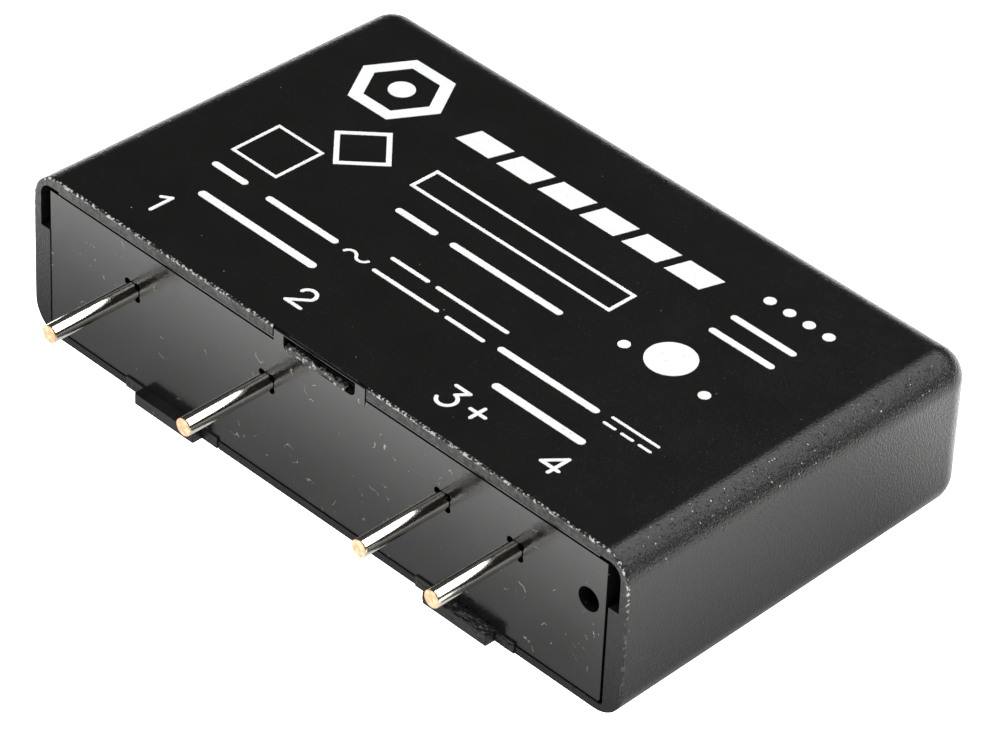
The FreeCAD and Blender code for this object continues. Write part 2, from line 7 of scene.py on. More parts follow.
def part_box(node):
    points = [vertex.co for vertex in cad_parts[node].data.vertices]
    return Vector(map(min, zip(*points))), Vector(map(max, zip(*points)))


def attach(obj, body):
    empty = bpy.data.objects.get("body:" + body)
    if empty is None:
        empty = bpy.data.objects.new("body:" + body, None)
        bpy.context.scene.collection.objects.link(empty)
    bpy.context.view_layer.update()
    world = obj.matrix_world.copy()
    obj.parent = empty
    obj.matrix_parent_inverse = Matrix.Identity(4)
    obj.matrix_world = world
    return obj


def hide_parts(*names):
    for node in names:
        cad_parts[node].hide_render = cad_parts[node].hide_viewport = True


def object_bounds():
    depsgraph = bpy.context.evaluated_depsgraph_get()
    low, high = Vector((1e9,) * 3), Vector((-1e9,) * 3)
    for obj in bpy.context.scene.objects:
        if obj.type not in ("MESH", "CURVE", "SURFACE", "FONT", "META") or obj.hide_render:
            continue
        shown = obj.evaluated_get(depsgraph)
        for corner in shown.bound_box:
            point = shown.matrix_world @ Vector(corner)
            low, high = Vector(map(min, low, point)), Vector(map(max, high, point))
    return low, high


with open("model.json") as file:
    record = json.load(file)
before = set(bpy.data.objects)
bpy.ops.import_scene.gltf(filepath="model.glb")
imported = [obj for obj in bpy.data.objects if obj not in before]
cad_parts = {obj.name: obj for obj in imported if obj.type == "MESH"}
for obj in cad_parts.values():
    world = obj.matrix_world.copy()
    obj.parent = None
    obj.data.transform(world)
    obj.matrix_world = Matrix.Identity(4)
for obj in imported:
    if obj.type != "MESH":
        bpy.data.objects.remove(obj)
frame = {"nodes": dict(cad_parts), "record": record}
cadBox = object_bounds()
nodes = frame["nodes"]
mm = 0.001
print("relay: frame loaded,", len(nodes), "nodes")

# places read from the frame, in metres
caseLow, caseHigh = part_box("case_shell")
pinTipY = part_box("pin_1")[0].y
mouthY = caseLow.y
faceZ = caseHigh.z
caseCorner = 1.8  # radius of the case's outer edges, in millimetres


def makeMaterial(name):
    material = bpy.data.materials.new(name)
    material.use_nodes = True
    return material


def addNode(tree, kind, **settings):
    node = tree.nodes.new(kind)
    for key, value in settings.items():
        setattr(node, key, value)
    return node


def setInput(node, name, value):
    node.inputs[name].default_value = value


def mathNode(tree, operation, first, second=None):
    node = addNode(tree, "ShaderNodeMath", operation=operation)
    for slot, value in enumerate((first, second)):
        if value is None:
            continue
        if isinstance(value, (int, float)):
            node.inputs[slot].default_value = value
        else:
            tree.links.new(value, node.inputs[slot])
    return node.outputs[0]


def rampNode(tree, value, low, high):
    # 0 below low, 1 above high, smooth between
    node = addNode(tree, "ShaderNodeMapRange", interpolation_type="SMOOTHSTEP")
    tree.links.new(value, node.inputs["Value"])
    setInput(node, "From Min", low)
    setInput(node, "From Max", high)
    return node.outputs["Result"]


def mixColour(tree, mask, first, second):
    node = addNode(tree, "ShaderNodeMix", data_type="RGBA")
    for slot, value in ((0, mask), (6, first), (7, second)):
        if isinstance(value, tuple):
            node.inputs[slot].default_value = (*value, 1.0)
        elif isinstance(value, (int, float)):
            node.inputs[slot].default_value = value
        else:
            tree.links.new(value, node.inputs[slot])
    return node.outputs[2]


def mixValue(tree, mask, first, second):
    node = addNode(tree, "ShaderNodeMix", data_type="FLOAT")
    for slot, value in ((0, mask), (2, first), (3, second)):
        if isinstance(value, (int, float)):
            node.inputs[slot].default_value = value
        else:
            tree.links.new(value, node.inputs[slot])
    return node.outputs[0]


def newGroup(name, inputs, outputs):
    # a shader group with named number inputs, a vector input called Place, and the given outputs
    group = bpy.data.node_groups.new(name, "ShaderNodeTree")
    group.interface.new_socket("Place", in_out="INPUT", socket_type="NodeSocketVector")
    for key, value in inputs.items():
        socket = group.interface.new_socket(key, in_out="INPUT", socket_type="NodeSocketFloat")
        socket.default_value = value
    for key in outputs:
        group.interface.new_socket(key, in_out="OUTPUT", socket_type="NodeSocketFloat")
    return group, group.nodes.new("NodeGroupInput"), group.nodes.new("NodeGroupOutput")


def useGroup(tree, group, place, **values):
    node = addNode(tree, "ShaderNodeGroup", node_tree=group)
    tree.links.new(place, node.inputs["Place"])
    for key, value in values.items():
        node.inputs[key].default_value = value
    return node


def placeInMillimetres(tree, stretch=(1.0, 1.0, 1.0)):
    # object coordinates with one unit to the millimetre
    coordinates = addNode(tree, "ShaderNodeTexCoord")
    mapping = addNode(tree, "ShaderNodeMapping", vector_type="POINT")
    setInput(mapping, "Scale", tuple(1000 * s for s in stretch))
    tree.links.new(coordinates.outputs["Object"], mapping.inputs["Vector"])
    return mapping.outputs["Vector"]


# effects that several materials share

def buildGrainGroup():
    # moulded grain: a fine spark-eroded skin with sparse sharp peaks, over a slow waviness
    values = {"Size": 0.1, "Coarse": 0.3, "Peaks": 0.5}
    group, start, end = newGroup("mouldGrain", values, ("Height", "Variation"))
    perMm = mathNode(group, "DIVIDE", 1.0, start.outputs["Size"])
    fine = addNode(group, "ShaderNodeTexNoise")
    group.links.new(start.outputs["Place"], fine.inputs["Vector"])
    group.links.new(perMm, fine.inputs["Scale"])
    setInput(fine, "Detail", 2.0)
    slow = addNode(group, "ShaderNodeTexNoise")
    group.links.new(start.outputs["Place"], slow.inputs["Vector"])
    setInput(slow, "Scale", 0.35)
    setInput(slow, "Detail", 3.0)
    cells = addNode(group, "ShaderNodeTexVoronoi", feature="F1")
    group.links.new(start.outputs["Place"], cells.inputs["Vector"])
    group.links.new(perMm, cells.inputs["Scale"])
    split = addNode(group, "ShaderNodeSeparateColor")
    group.links.new(cells.outputs["Color"], split.inputs[0])
    chosen = mathNode(group, "LESS_THAN", split.outputs[0], 0.16)
    dome = mathNode(group, "MAXIMUM", mathNode(group, "SUBTRACT", 0.55, cells.outputs["Distance"]), 0.0)
    peak = mathNode(group, "MULTIPLY", mathNode(group, "MULTIPLY", chosen, dome), start.outputs["Peaks"])
    low = mathNode(group, "MULTIPLY", slow.outputs["Fac"], start.outputs["Coarse"])
    skin = mathNode(group, "ADD", fine.outputs["Fac"], low)
    group.links.new(mathNode(group, "ADD", skin, peak), end.inputs["Height"])
    group.links.new(slow.outputs["Fac"], end.inputs["Variation"])
    return group


def buildSpeckGroup():
    # sparse specks, used for dust and for painted glints: the middles of a few cells
    values = {"Spacing": 0.6, "Share": 0.2, "Radius": 0.1}
    group, start, end = newGroup("dustAndGlintSpecks", values, ("Mask",))
    cells = addNode(group, "ShaderNodeTexVoronoi", feature="F1")
    perMm = mathNode(group, "DIVIDE", 1.0, start.outputs["Spacing"])
    group.links.new(start.outputs["Place"], cells.inputs["Vector"])
    group.links.new(perMm, cells.inputs["Scale"])
    split = addNode(group, "ShaderNodeSeparateColor")
    group.links.new(cells.outputs["Color"], split.inputs[0])
    chosen = mathNode(group, "LESS_THAN", split.outputs[0], start.outputs["Share"])
    spread = mathNode(group, "ADD", split.outputs[1], 0.35)
    reach = mathNode(group, "MULTIPLY", start.outputs["Radius"], spread)
    inside = mathNode(group, "LESS_THAN", cells.outputs["Distance"], reach)
    soft = mathNode(group, "MULTIPLY", mathNode(group, "MULTIPLY", chosen, inside), split.outputs[2])
    group.links.new(soft, end.inputs["Mask"])
    return group


def buildFibreGroup():
    # short curved fibres: thin shells in a few cells, kept only where a noise is high
    values = {"Spacing": 2.0, "Share": 0.3, "Width": 0.02}
    group, start, end = newGroup("fibreArcs", values, ("Mask",))
    bend = addNode(group, "ShaderNodeTexNoise")
    group.links.new(start.outputs["Place"], bend.inputs["Vector"])
    setInput(bend, "Scale", 0.9)
    bent = addNode(group, "ShaderNodeVectorMath", operation="MULTIPLY_ADD")
    group.links.new(bend.outputs["Color"], bent.inputs[0])
    bent.inputs[1].default_value = (1.6, 1.6, 1.6)
    group.links.new(start.outputs["Place"], bent.inputs[2])
    cells = addNode(group, "ShaderNodeTexVoronoi", feature="F1")
    perMm = mathNode(group, "DIVIDE", 1.0, start.outputs["Spacing"])
    group.links.new(bent.outputs["Vector"], cells.inputs["Vector"])
    group.links.new(perMm, cells.inputs["Scale"])
    split = addNode(group, "ShaderNodeSeparateColor")
    group.links.new(cells.outputs["Color"], split.inputs[0])
    chosen = mathNode(group, "LESS_THAN", split.outputs[0], start.outputs["Share"])
    radius = mathNode(group, "ADD", mathNode(group, "MULTIPLY", split.outputs[1], 0.25), 0.26)
    away = mathNode(group, "ABSOLUTE", mathNode(group, "SUBTRACT", cells.outputs["Distance"], radius))
    width = mathNode(group, "DIVIDE", start.outputs["Width"], start.outputs["Spacing"])
    thin = mathNode(group, "LESS_THAN", away, width)
    part = addNode(group, "ShaderNodeTexNoise")
    group.links.new(start.outputs["Place"], part.inputs["Vector"])
    setInput(part, "Scale", 1.6)
    shown = rampNode(group, part.outputs["Fac"], 0.56, 0.62)
    mask = mathNode(group, "MULTIPLY", mathNode(group, "MULTIPLY", chosen, thin), shown)
    group.links.new(mask, end.inputs["Mask"])
    return group


grainGroup = buildGrainGroup()
speckGroup = buildSpeckGroup()
fibreGroup = buildFibreGroup()


def bumpFrom(tree, height, distance):
    bump = addNode(tree, "ShaderNodeBump")
    setInput(bump, "Strength", 1.0)
    setInput(bump, "Distance", distance)
    tree.links.new(height, bump.inputs["Height"])
    return bump.outputs["Normal"]


def splitPlace(tree, place):
    split = addNode(tree, "ShaderNodeSeparateXYZ")
    tree.links.new(place, split.inputs[0])
    return split.outputs


def noiseValue(tree, place, scale, detail=2.0):
    texture = addNode(tree, "ShaderNodeTexNoise")
    setInput(texture, "Scale", scale)
    setInput(texture, "Detail", detail)
    tree.links.new(place, texture.inputs["Vector"])
    return texture.outputs["Fac"]


# one pale colour serves both the real chips along the mouth and the painted glints, painted highlights,
# on the rounded ends
caseFinish = {
    "colour": (0.0062, 0.0062, 0.0059), "chipsAndGlints": (0.52, 0.52, 0.51), "rim": (0.050, 0.050, 0.048),
    "dust": (0.20, 0.20, 0.19), "roughness": 0.26, "rimRough": 0.42, "ior": 1.34,
    "grainSize": 0.13, "grainDepth": 0.042, "faceGrain": 0.42, "lean": 0.013,
    "chipReach": 0.075, "chipShare": (0.50, 0.60),
}


def blackMoulding():
    # spark-eroded black case with a little dust, a matt rim, bright chips along the mouth, and painted
    # glints (painted highlights) as pale specks on the rounded ends
    settings = caseFinish
    material = makeMaterial("blackMoulding")
    tree = material.node_tree
    shader = tree.nodes["Principled BSDF"]
    place = placeInMillimetres(tree)
    grain = useGroup(tree, grainGroup, place, Size=settings["grainSize"], Coarse=0.25, Peaks=0.9)
    dust = useGroup(tree, speckGroup, place, Spacing=0.60, Share=0.10, Radius=0.065)
    lighter = tuple(1.5 * part for part in settings["colour"])
    shade = mixColour(tree, grain.outputs["Variation"], settings["colour"], lighter)
    dusty = mixColour(tree, dust.outputs["Mask"], shade, settings["dust"])
    axes = splitPlace(tree, place)
    fromMouth = mathNode(tree, "SUBTRACT", axes["Y"], mouthY / mm)
    onRim = mathNode(tree, "SUBTRACT", 1.0, rampNode(tree, fromMouth, 0.02, 0.05))
    rimNoise = noiseValue(tree, place, 4.0, 3.0)
    rimShade = mixColour(tree, rampNode(tree, rimNoise, 0.35, 0.70), settings["colour"], settings["rim"])
    # how far a point lies past the centres of the rounded corners, and inside the outline
    fromMiddle = mathNode(tree, "ABSOLUTE", axes["X"])
    pastX = mathNode(tree, "SUBTRACT", fromMiddle, caseHigh.x / mm - caseCorner)
    pastZ = mathNode(tree, "SUBTRACT", axes["Z"], faceZ / mm - caseCorner)
    outX = mathNode(tree, "MAXIMUM", pastX, 0.0)
    outZ = mathNode(tree, "MAXIMUM", pastZ, 0.0)
    squareX = mathNode(tree, "MULTIPLY", outX, outX)
    squareZ = mathNode(tree, "MULTIPLY", outZ, outZ)
    fromCentre = mathNode(tree, "SQRT", mathNode(tree, "ADD", squareX, squareZ))
    inward = mathNode(tree, "SUBTRACT", caseCorner, fromCentre)
    atEdge = mathNode(tree, "ADD", fromMouth, mathNode(tree, "ABSOLUTE", inward))
    chipEdge = rampNode(tree, atEdge, settings["chipReach"], settings["chipReach"] * 2.2)
    nearEdge = mathNode(tree, "SUBTRACT", 1.0, chipEdge)
    chips = rampNode(tree, noiseValue(tree, place, 5.5, 3.0), *settings["chipShare"])
    upper = mixValue(tree, rampNode(tree, pastZ, -2.0, 0.6), 0.12, 1.0)
    rimmed = mixColour(tree, mathNode(tree, "MULTIPLY", onRim, upper), dusty, rimShade)
    chipMask = mathNode(tree, "MULTIPLY", mathNode(tree, "MULTIPLY", nearEdge, chips), upper)
    # painted glints: pale specks along the rounding at each end, painted highlights where the grain would
    # catch the light
    glintSpecks = useGroup(tree, speckGroup, place, Spacing=0.18, Share=0.23, Radius=0.23)
    onRound = mathNode(tree, "MULTIPLY", rampNode(tree, outX, 0.05, 0.5), rampNode(tree, outZ, 0.25, 0.8))
    paintedGlints = mathNode(tree, "MULTIPLY", glintSpecks.outputs["Mask"], onRound)
    # the pale colour goes on real chips and on painted glints alike
    chipsAndGlints = mathNode(tree, "MAXIMUM", chipMask, paintedGlints)
    tree.links.new(mixColour(tree, chipsAndGlints, rimmed, settings["chipsAndGlints"]), shader.inputs["Base Color"])
    setInput(shader, "IOR", settings["ior"])
    roughness = settings["roughness"]
    rough = mixValue(tree, grain.outputs["Variation"], roughness - 0.03, roughness + 0.05)
    tree.links.new(mixValue(tree, onRim, rough, settings["rimRough"]), shader.inputs["Roughness"])
    # the printed face is the smoothest: it leans a little towards the top of the case
    level = mathNode(tree, "ADD", axes["Z"], mathNode(tree, "MULTIPLY", fromMouth, settings["lean"]))
    onFace = rampNode(tree, level, faceZ / mm - 0.30, faceZ / mm - 0.05)
    share = mixValue(tree, onFace, 1.0, settings["faceGrain"])
    height = mathNode(tree, "MULTIPLY", grain.outputs["Height"], share)
    tree.links.new(bumpFrom(tree, height, settings["grainDepth"] * mm), shader.inputs["Normal"])
    return material


baseFinish = {
    "colour": (0.0050, 0.0050, 0.0047), "dust": (0.34, 0.34, 0.32), "fibre": (0.26, 0.25, 0.22),
    "roughness": 0.20, "ior": 1.50, "footRough": 0.36, "footTop": 0.75, "grainDepth": 0.012,
}


def baseMoulding():
    # smooth satin base with specks, fibres and faint scuffs, matt along the feet
    settings = baseFinish
    material = makeMaterial("baseMoulding")
    tree = material.node_tree
    shader = tree.nodes["Principled BSDF"]
    place = placeInMillimetres(tree)
    grain = useGroup(tree, grainGroup, place, Size=0.40, Coarse=0.9, Peaks=0.0)
    fine = useGroup(tree, grainGroup, place, Size=0.10, Coarse=0.0, Peaks=0.6)
    dust = useGroup(tree, speckGroup, place, Spacing=0.62, Share=0.48, Radius=0.085)
    fibre = useGroup(tree, fibreGroup, place, Spacing=1.9, Share=0.5, Width=0.017)
    lighter = tuple(1.7 * part for part in settings["colour"])
    shade = mixColour(tree, grain.outputs["Variation"], settings["colour"], lighter)
    dusty = mixColour(tree, dust.outputs["Mask"], shade, settings["dust"])
    shown = mixColour(tree, fibre.outputs["Mask"], dusty, settings["fibre"])
    tree.links.new(shown, shader.inputs["Base Color"])
    setInput(shader, "IOR", settings["ior"])
    scuff = rampNode(tree, noiseValue(tree, place, 0.9, 4.0), 0.42, 0.70)
    rough = mixValue(tree, scuff, settings["roughness"] - 0.04, settings["roughness"] + 0.08)
    axes = splitPlace(tree, place)
    onFoot = mathNode(tree, "LESS_THAN", axes["Z"], settings["footTop"])
    tree.links.new(mixValue(tree, onFoot, rough, settings["footRough"]), shader.inputs["Roughness"])
    height = mixValue(tree, 0.25, grain.outputs["Height"], fine.outputs["Height"])
    tree.links.new(bumpFrom(tree, height, settings["grainDepth"] * mm), shader.inputs["Normal"])
    return material


def brokenMoulding(name, pale, share):
    # torn plastic: paler where it was stressed, rough all over
    material = makeMaterial(name)
    tree = material.node_tree
    shader = tree.nodes["Principled BSDF"]
    place = placeInMillimetres(tree)
    grain = useGroup(tree, grainGroup, place, Size=0.09, Coarse=0.2, Peaks=1.0)
    torn = rampNode(tree, noiseValue(tree, place, 4.5, 4.0), share, share + 0.16)
    shade = mixColour(tree, torn, (0.012, 0.012, 0.011), (pale, pale, pale))
    tree.links.new(shade, shader.inputs["Base Color"])
    tree.links.new(mixValue(tree, torn, 0.40, 0.60), shader.inputs["Roughness"])
    tree.links.new(bumpFrom(tree, grain.outputs["Height"], 0.04 * mm), shader.inputs["Normal"])
    return material


wireFinish = {
    "tin": (0.80, 0.77, 0.70), "dull": (0.58, 0.55, 0.48), "copper": (0.64, 0.40, 0.26),
    "copperDark": (0.50, 0.27, 0.15), "roughness": 0.12, "cutRough": 0.48, "cutDepth": 0.09,
}


def tinnedWire():
    # bright tin with fine drawing lines along the wire, bare copper on the cut end
    settings = wireFinish
    material = makeMaterial("tinnedWire")
    tree = material.node_tree
    shader = tree.nodes["Principled BSDF"]
    place = placeInMillimetres(tree)
    streaks = noiseValue(tree, placeInMillimetres(tree, stretch=(9.0, 0.5, 9.0)), 1.6, 3.0)
    blur = noiseValue(tree, place, 3.5, 3.0)
    axes = splitPlace(tree, place)
    edge = mathNode(tree, "ADD", axes["Y"], mathNode(tree, "MULTIPLY", blur, 0.09))
    isCut = mathNode(tree, "LESS_THAN", edge, pinTipY / mm + settings["cutDepth"])
    tin = mixColour(tree, rampNode(tree, streaks, 0.50, 0.75), settings["tin"], settings["dull"])
    copper = mixColour(tree, rampNode(tree, blur, 0.40, 0.62), settings["copperDark"], settings["copper"])
    tree.links.new(mixColour(tree, isCut, tin, copper), shader.inputs["Base Color"])
    setInput(shader, "Metallic", 1.0)
    rough = mixValue(tree, streaks, settings["roughness"] - 0.04, settings["roughness"] + 0.10)
    tree.links.new(mixValue(tree, isCut, rough, settings["cutRough"]), shader.inputs["Roughness"])
    height = mixValue(tree, isCut, mathNode(tree, "MULTIPLY", streaks, 0.008), blur)
    tree.links.new(bumpFrom(tree, height, 0.03 * mm), shader.inputs["Normal"])
    return material


def whiteInk():
    # pad-printed ink: flat white, thin in places
    material = makeMaterial("whiteInk")
    tree = material.node_tree
    shader = tree.nodes["Principled BSDF"]
    place = placeInMillimetres(tree)
    grain = useGroup(tree, grainGroup, place, Size=0.12, Coarse=0.2, Peaks=0.0)
    thin = rampNode(tree, grain.outputs["Height"], 0.30, 0.48)
    shade = mixColour(tree, thin, (0.42, 0.44, 0.44), (0.86, 0.88, 0.88))
    tree.links.new(shade, shader.inputs["Base Color"])
    tree.links.new(mixValue(tree, thin, 0.45, 0.6), shader.inputs["Roughness"])
    tree.links.new(bumpFrom(tree, grain.outputs["Height"], 0.006 * mm), shader.inputs["Normal"])
    return material


def plainFinish(name, low, high, roughness, size, depth, metallic=0.0, stretch=(1.0, 1.0, 1.0)):
    # a finish whose colour and roughness drift between two values over a grain of this size
    material = makeMaterial(name)
    tree = material.node_tree
    shader = tree.nodes["Principled BSDF"]
    place = placeInMillimetres(tree, stretch=stretch)
    grain = useGroup(tree, grainGroup, place, Size=size, Coarse=0.5, Peaks=0.0)
    mask = rampNode(tree, grain.outputs["Height"], 0.35, 0.95)
    tree.links.new(mixColour(tree, mask, low, high), shader.inputs["Base Color"])
    tree.links.new(mixValue(tree, mask, roughness * 0.8, roughness * 1.2), shader.inputs["Roughness"])
    setInput(shader, "Metallic", metallic)
    tree.links.new(bumpFrom(tree, grain.outputs["Height"], depth * mm), shader.inputs["Normal"])
    return material


finishes = {
    "black_moulding": blackMoulding(),
    "base_moulding": baseMoulding(),
    "tinned_wire": tinnedWire(),
    "white_ink": whiteInk(),
    "board_laminate": plainFinish("boardLaminate", (0.015, 0.10, 0.035), (0.03, 0.20, 0.07),
                                  0.35, 0.5, 0.004),
    "copper": plainFinish("copperFoil", (0.55, 0.25, 0.12), (0.80, 0.42, 0.24),
                          0.35, 0.2, 0.003, metallic=1.0),
    "solder": plainFinish("solderTin", (0.50, 0.50, 0.50), (0.78, 0.78, 0.77),
                          0.28, 0.4, 0.006, metallic=1.0),
    "plate_aluminium": plainFinish("plateAluminium", (0.60, 0.61, 0.62), (0.82, 0.83, 0.84),
                                   0.38, 0.15, 0.003, metallic=1.0, stretch=(0.1, 1.0, 1.0)),
    "gap_silicone": plainFinish("gapSilicone", (0.36, 0.42, 0.48), (0.50, 0.56, 0.62),
                                0.75, 0.15, 0.006),
    "component_epoxy": plainFinish("componentEpoxy", (0.012, 0.012, 0.013), (0.03, 0.03, 0.032),
                                   0.5, 0.08, 0.005),
    "chip_ceramic": plainFinish("chipCeramic", (0.02, 0.02, 0.022), (0.05, 0.05, 0.055),
                                0.3, 0.3, 0.003),
    "capacitor_ceramic": plainFinish("capacitorCeramic", (0.34, 0.25, 0.16), (0.50, 0.39, 0.27),
                                     0.5, 0.12, 0.005),
}

for entry in frame["record"]["subparts"]:
    node = nodes[entry["node"]]
    node.data.materials.clear()
    node.data.materials.append(finishes[entry["material_slot"]])
print("relay: finishes on every node")

meshing = {"joinWithin": 0.0004, "cutWithin": 0.001, "sharpAngle": 35, "smoothAngle": 32, "flat": 0.99999}


def selectOnly(piece):
    bpy.ops.object.select_all(action="DESELECT")
    bpy.context.view_layer.objects.active = piece
    piece.select_set(True)


def joinedCopy(nodeName, pieceName):
    # a copy of a frame node, its loose triangles joined into one skin
    piece = bpy.data.objects.new(pieceName, nodes[nodeName].data.copy())
    bpy.context.scene.collection.objects.link(piece)
    selectOnly(piece)
    bpy.ops.mesh.customdata_custom_splitnormals_clear()
    bpy.ops.object.mode_set(mode="EDIT")
    bpy.ops.mesh.select_all(action="SELECT")
    bpy.ops.mesh.remove_doubles(threshold=meshing["joinWithin"] * mm)
    bpy.ops.object.mode_set(mode="OBJECT")
    return piece


def pickEdges(piece, test):
    # leaves edit mode on, with only the sharp edges selected that pass the test
    selectOnly(piece)
    bpy.context.tool_settings.mesh_select_mode = (False, True, False)
    bpy.ops.object.mode_set(mode="EDIT")
    bpy.ops.mesh.select_all(action="DESELECT")
    bpy.ops.mesh.edges_select_sharp(sharpness=math.radians(meshing["sharpAngle"]))
    bpy.ops.object.mode_set(mode="OBJECT")
    corners = piece.data.vertices
    for edge in piece.data.edges:
        first, second = (corners[index].co for index in edge.vertices)
        edge.select = edge.select and test(first, second)
    bpy.ops.object.mode_set(mode="EDIT")


def pickFaces(piece, test):
    # leaves edit mode on, with only the faces selected that pass the test
    selectOnly(piece)
    bpy.context.tool_settings.mesh_select_mode = (False, False, True)
    bpy.ops.object.mode_set(mode="EDIT")
    bpy.ops.mesh.select_all(action="DESELECT")
    bpy.ops.object.mode_set(mode="OBJECT")
    for face in piece.data.polygons:
        face.select = test(face.center, face.normal)
    bpy.ops.object.mode_set(mode="EDIT")


def finishPiece(piece, nodeName, slotName):
    # shading, finish and place in the frame, for a piece that is shown in a node's stead
    selectOnly(piece)
    bpy.ops.object.shade_smooth_by_angle(angle=math.radians(meshing["smoothAngle"]))
    for face in piece.data.polygons:
        if max(abs(part) for part in face.normal) > meshing["flat"]:
            face.use_smooth = False  # a flat wall keeps one normal right up to its holes
    bpy.ops.object.modifier_add(type="WEIGHTED_NORMAL")
    piece.modifiers[-1].keep_sharp = True
    bpy.ops.object.modifier_apply(modifier=piece.modifiers[-1].name)
    piece.data.materials.clear()
    piece.data.materials.append(finishes[slotName])
    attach(piece, "root")
    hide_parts(nodeName)


def nearPlane(value, plane, slack=0.002 * mm):
    return abs(value - plane) < slack


def addRing(piece, planeY):
    # a row of edges all round, which keeps the shading of a rounded edge from running down the walls
    selectOnly(piece)
    bpy.ops.object.mode_set(mode="EDIT")
    bpy.ops.mesh.select_all(action="SELECT")
    bpy.ops.mesh.bisect(plane_co=(0, planeY, 0), plane_no=(0, 1, 0),
                        threshold=meshing["cutWithin"] * mm)
    bpy.ops.object.mode_set(mode="OBJECT")


casePiece = {
    "edgeRound": 0.06, "outlineWithin": 0.05, "rimDepth": 1.2, "rimLength": 2.0, "rimCuts": 116,
    "chipDepth": 0.05, "chipScale": 4.5, "chipSlack": 0.003,
}


def insideOutline(spot):
    # how far a point at the mouth lies inside the outline of the case
    corner = caseCorner * mm
    outX = max(abs(spot.x) - caseHigh.x + corner, 0.0)
    outZ = max(spot.z - caseHigh.z + corner, caseLow.z + corner - spot.z, 0.0)
    return corner - math.hypot(outX, outZ)


def addCase():
    # the case with a rounded rim, worn ragged along the front of the mouth
    piece = joinedCopy("case_shell", "relayCase")
    setting = casePiece

    def longFrontRim(first, second):
        onRim = nearPlane(first.y, mouthY) and nearPlane(second.y, mouthY)
        isFront = first.z > faceZ - setting["rimDepth"] * mm
        return onRim and isFront and (first - second).length > setting["rimLength"] * mm

    pickEdges(piece, longFrontRim)
    bpy.ops.mesh.subdivide(number_cuts=setting["rimCuts"])
    bpy.ops.object.mode_set(mode="OBJECT")

    def outerRim(first, second):
        onRim = nearPlane(first.y, mouthY) and nearPlane(second.y, mouthY)
        inside = max(insideOutline(first), insideOutline(second))
        return onRim and inside < setting["outlineWithin"] * mm

    pickEdges(piece, outerRim)
    bpy.ops.mesh.bevel(offset=setting["edgeRound"] * mm, segments=2, affect="EDGES",
                       clamp_overlap=False)
    bpy.ops.object.mode_set(mode="OBJECT")
    addRing(piece, mouthY + 4 * setting["edgeRound"] * mm)
    # only the middle row of the rounded edge is bitten, so the flat faces beside it stay flat
    slack = setting["chipSlack"] * mm
    reach = setting["edgeRound"] * mm - slack
    for corner in piece.data.vertices:
        spot = corner.co
        if mouthY + slack < spot.y < mouthY + reach and faceZ - reach < spot.z < faceZ - slack:
            bite = max(0.0, noise.noise(spot / mm * setting["chipScale"]) + 0.1)
            spot.y += bite * setting["chipDepth"] * mm
            spot.z -= bite * setting["chipDepth"] * mm
    finishPiece(piece, "case_shell", "black_moulding")


basePiece = {"footRound": 0.06, "footStart": 0.1}


def addBase():
    # the base, with the outer edges of its feet rounded
    piece = joinedCopy("terminal_base", "relayBase")
    beyond = mouthY - basePiece["footStart"] * mm
    pickEdges(piece, lambda first, second: max(first.y, second.y) < beyond)
    bpy.ops.mesh.bevel(offset=basePiece["footRound"] * mm, segments=2, affect="EDGES",
                       clamp_overlap=False)
    bpy.ops.object.mode_set(mode="OBJECT")
    finishPiece(piece, "terminal_base", "base_moulding")


pinPiece = {
    "radius": 0.51, "height": 6.40, "sides": 64, "endRound": 0.05, "roughCut": 0.035,
    "roundEnd": 0.10, "shank": 0.38, "collarFront": 1.60, "collarBack": 2.10, "collar": 0.80,
    "inside": 5.10, "bladeHalf": 0.62, "bladeThick": 0.66, "cutRings": (0.10, 0.12, 0.12),
    "cutWithin": 0.01,
}


def endCentre():
    # the middle of the selected face of the piece that is being edited
    bpy.ops.object.mode_set(mode="OBJECT")
    mesh = bpy.context.object.data
    spots = [corner.co.copy() for corner in mesh.vertices if corner.select]
    bpy.ops.object.mode_set(mode="EDIT")
    return sum(spots, Vector()) / len(spots)


def growPin(length, wide, high):
    # pulls the selected end face on along the pin, then changes its size
    bpy.ops.mesh.extrude_region_move(TRANSFORM_OT_translate={"value": (0, length * mm, 0)})
    bpy.ops.transform.resize(value=(wide, 1, high), center_override=endCentre())


